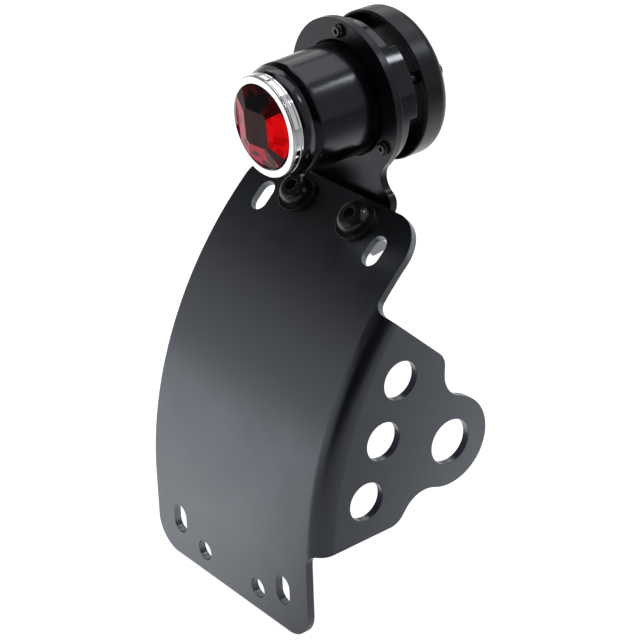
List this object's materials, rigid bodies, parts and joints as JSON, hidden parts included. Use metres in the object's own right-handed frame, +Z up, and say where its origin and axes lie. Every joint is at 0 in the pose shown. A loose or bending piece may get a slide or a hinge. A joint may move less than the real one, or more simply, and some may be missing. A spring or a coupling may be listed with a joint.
{
  "type": "side mount license plate holder",
  "caption": "Curved steel plate holder that bolts to a motorcycle's rear axle by a side flange, with slots for the plate and a small round red tail lamp on a bracket above it.",
  "frame": {"origin": "centre of the axle hole on the outer face of the side flange", "axes": "+X along the axle, out of the flange's outer face; +Z up; the plate and the lamp face -Y"},
  "size_m": [0.1092, 0.102, 0.2278],
  "materials": {
    "powder_black": "satin powder coat",
    "screw_black": "black oxide",
    "zinc_steel": "zinc plated",
    "gloss_black": "gloss",
    "chrome": "polished",
    "red_lens": "clear red",
    "rubber_black": "matte",
    "mirror_silver": "polished",
    "holder_black": "matte",
    "bulb_glass": "clear"
  },
  "bodies": {
    "root": {"plate_bracket": "powder_black", "lamp_bracket": "powder_black", "foot_screw_left": "screw_black", "foot_screw_right": "screw_black", "foot_washer_left": "screw_black", "foot_washer_right": "screw_black", "foot_lock_washer_left": "zinc_steel", "foot_lock_washer_right": "zinc_steel", "foot_nut_left": "zinc_steel", "foot_nut_right": "zinc_steel", "ring_screw_top": "screw_black", "ring_screw_left": "screw_black", "ring_screw_right": "screw_black", "bell_shell": "gloss_black", "bezel": "chrome", "lens": "red_lens", "lens_gasket": "rubber_black", "reflector": "mirror_silver", "bulb_holder": "holder_black", "bulb": "bulb_glass", "rear_housing": "gloss_black", "rear_cover": "gloss_black", "cover_spacer_upper": "gloss_black", "cover_spacer_left": "gloss_black", "cover_spacer_lower": "gloss_black", "cover_screw_upper": "screw_black", "cover_screw_left": "screw_black", "cover_screw_lower": "screw_black", "cable_grommet": "rubber_black"}
  },
  "joints": []
}
